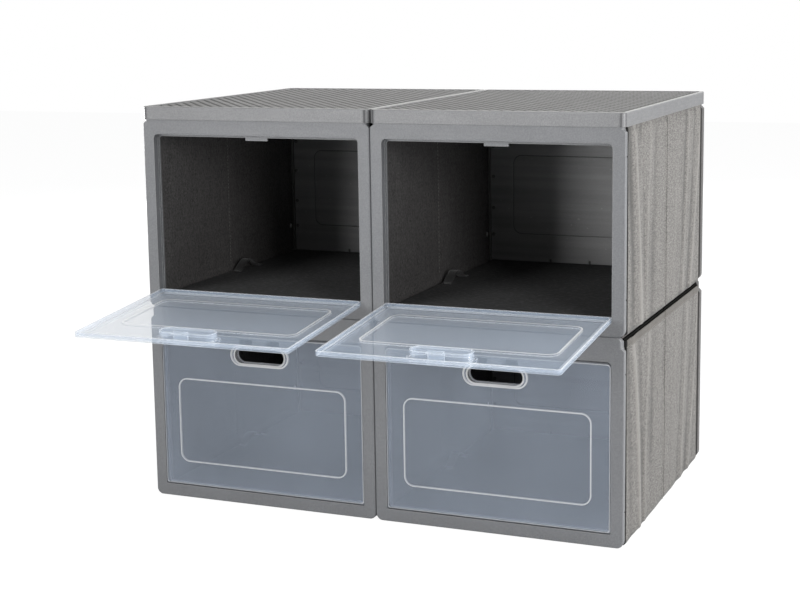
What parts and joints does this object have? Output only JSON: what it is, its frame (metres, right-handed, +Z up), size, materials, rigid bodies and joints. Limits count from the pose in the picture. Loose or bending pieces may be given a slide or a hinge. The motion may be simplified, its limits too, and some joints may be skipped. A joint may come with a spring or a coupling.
{
  "type": "cube storage unit",
  "caption": "Stack of collapsible fabric-sided storage boxes with grey frames, clear drop-down doors with finger slots, loose felt boards and textured lids.",
  "frame": {"origin": "bottom centre of the whole object's box, upper doors open, on the surface that it stands on", "axes": "+X to the right seen from the front, +Y to the back, +Z up"},
  "size_m": [0.5994, 0.5852, 0.4857],
  "materials": {
    "frame_plastic": "satin",
    "back_plastic": "satin",
    "panel_plastic": "satin",
    "lid_plastic": "satin",
    "clear_door": "frosted",
    "linen_fabric": "melange weave",
    "lining_fabric": "matte",
    "felt_board": "felt",
    "webbing": "woven",
    "stiffener_board": "raw board",
    "rivet_metal": "satin"
  },
  "bodies": {
    "lower_boxes": {"lower_left_front_frame": "frame_plastic", "lower_left_back_frame": "back_plastic", "lower_left_back_panel": "panel_plastic", "lower_left_panel_rivets": "rivet_metal", "lower_left_left_outer_fabric": "linen_fabric", "lower_left_right_outer_fabric": "linen_fabric", "lower_left_left_lining": "lining_fabric", "lower_left_right_lining": "lining_fabric", "lower_left_wall_boards": "stiffener_board", "lower_left_floor_fabric": "lining_fabric", "lower_right_front_frame": "frame_plastic", "lower_right_back_frame": "back_plastic", "lower_right_back_panel": "panel_plastic", "lower_right_panel_rivets": "rivet_metal", "lower_right_left_outer_fabric": "linen_fabric", "lower_right_right_outer_fabric": "linen_fabric", "lower_right_left_lining": "lining_fabric", "lower_right_right_lining": "lining_fabric", "lower_right_wall_boards": "stiffener_board", "lower_right_floor_fabric": "lining_fabric"},
    "upper_left_box": {"upper_left_front_frame": "frame_plastic", "upper_left_back_frame": "back_plastic", "upper_left_back_panel": "panel_plastic", "upper_left_panel_rivets": "rivet_metal", "upper_left_left_outer_fabric": "linen_fabric", "upper_left_right_outer_fabric": "linen_fabric", "upper_left_left_lining": "lining_fabric", "upper_left_right_lining": "lining_fabric", "upper_left_wall_boards": "stiffener_board", "upper_left_floor_fabric": "lining_fabric"},
    "left_lid": {"left_lid": "lid_plastic"},
    "upper_right_box": {"upper_right_front_frame": "frame_plastic", "upper_right_back_frame": "back_plastic", "upper_right_back_panel": "panel_plastic", "upper_right_panel_rivets": "rivet_metal", "upper_right_left_outer_fabric": "linen_fabric", "upper_right_right_outer_fabric": "linen_fabric", "upper_right_left_lining": "lining_fabric", "upper_right_right_lining": "lining_fabric", "upper_right_wall_boards": "stiffener_board", "upper_right_floor_fabric": "lining_fabric"},
    "right_lid": {"right_lid": "lid_plastic"},
    "lower_left_door": {"lower_left_door": "clear_door"},
    "lower_left_latch": {"lower_left_door_latch": "clear_door"},
    "lower_left_base_board": {"lower_left_base_board": "felt_board", "lower_left_pull_loop": "webbing"},
    "lower_right_door": {"lower_right_door": "clear_door"},
    "lower_right_latch": {"lower_right_door_latch": "clear_door"},
    "lower_right_base_board": {"lower_right_base_board": "felt_board", "lower_right_pull_loop": "webbing"},
    "upper_left_door": {"upper_left_door": "clear_door"},
    "upper_left_latch": {"upper_left_door_latch": "clear_door"},
    "upper_left_base_board": {"upper_left_base_board": "felt_board", "upper_left_pull_loop": "webbing"},
    "upper_right_door": {"upper_right_door": "clear_door"},
    "upper_right_latch": {"upper_right_door_latch": "clear_door"},
    "upper_right_base_board": {"upper_right_base_board": "felt_board", "upper_right_pull_loop": "webbing"}
  },
  "joints": [
    {"name": "upper_left_box_lift", "type": "slide", "parent": "lower_boxes", "child": "upper_left_box", "axis": [0, 0, 1], "range_m": [0, 0.12]},
    {"name": "left_lid_lift", "type": "slide", "parent": "upper_left_box", "child": "left_lid", "axis": [0, 0, 1], "range_m": [0, 0.12]},
    {"name": "upper_right_box_lift", "type": "slide", "parent": "lower_boxes", "child": "upper_right_box", "axis": [0, 0, 1], "range_m": [0, 0.12]},
    {"name": "right_lid_lift", "type": "slide", "parent": "upper_right_box", "child": "right_lid", "axis": [0, 0, 1], "range_m": [0, 0.12]},
    {"name": "lower_left_door_hinge", "type": "hinge", "parent": "lower_boxes", "child": "lower_left_door", "pos_m": [-0.15, -0.10218, 0.0186], "axis": [1, 0, 0], "range_deg": [0, 94.5]},
    {"name": "lower_left_latch_press", "type": "hinge", "parent": "lower_left_door", "child": "lower_left_latch", "pos_m": [-0.15, -0.10418, 0.2001], "axis": [-1, 0, 0], "range_deg": [0, 12], "stiffness_Nm_per_rad": 0.25},
    {"name": "lower_left_base_board_tip", "type": "hinge", "parent": "lower_boxes", "child": "lower_left_base_board", "pos_m": [-0.15, 0.27682, 0.01], "axis": [-1, 0, 0], "range_deg": [0, 25]},
    {"name": "lower_right_door_hinge", "type": "hinge", "parent": "lower_boxes", "child": "lower_right_door", "pos_m": [0.15, -0.10218, 0.0186], "axis": [1, 0, 0], "range_deg": [0, 94.5]},
    {"name": "lower_right_latch_press", "type": "hinge", "parent": "lower_right_door", "child": "lower_right_latch", "pos_m": [0.15, -0.10418, 0.2001], "axis": [-1, 0, 0], "range_deg": [0, 12], "stiffness_Nm_per_rad": 0.25},
    {"name": "lower_right_base_board_tip", "type": "hinge", "parent": "lower_boxes", "child": "lower_right_base_board", "pos_m": [0.15, 0.27682, 0.01], "axis": [-1, 0, 0], "range_deg": [0, 25]},
    {"name": "upper_left_door_hinge", "type": "hinge", "parent": "upper_left_box", "child": "upper_left_door", "pos_m": [-0.15, -0.10218, 0.2586], "axis": [1, 0, 0], "range_deg": [-95, 0]},
    {"name": "upper_left_latch_press", "type": "hinge", "parent": "upper_left_door", "child": "upper_left_latch", "pos_m": [-0.15, -0.28282, 0.24079], "axis": [-1, 0, 0], "range_deg": [0, 12], "stiffness_Nm_per_rad": 0.25},
    {"name": "upper_left_base_board_tip", "type": "hinge", "parent": "upper_left_box", "child": "upper_left_base_board", "pos_m": [-0.15, 0.27682, 0.25], "axis": [-1, 0, 0], "range_deg": [0, 25]},
    {"name": "upper_right_door_hinge", "type": "hinge", "parent": "upper_right_box", "child": "upper_right_door", "pos_m": [0.15, -0.10218, 0.2586], "axis": [1, 0, 0], "range_deg": [-95, 0]},
    {"name": "upper_right_latch_press", "type": "hinge", "parent": "upper_right_door", "child": "upper_right_latch", "pos_m": [0.15, -0.28282, 0.24079], "axis": [-1, 0, 0], "range_deg": [0, 12], "stiffness_Nm_per_rad": 0.25},
    {"name": "upper_right_base_board_tip", "type": "hinge", "parent": "upper_right_box", "child": "upper_right_base_board", "pos_m": [0.15, 0.27682, 0.25], "axis": [-1, 0, 0], "range_deg": [0, 25]}
  ]
}
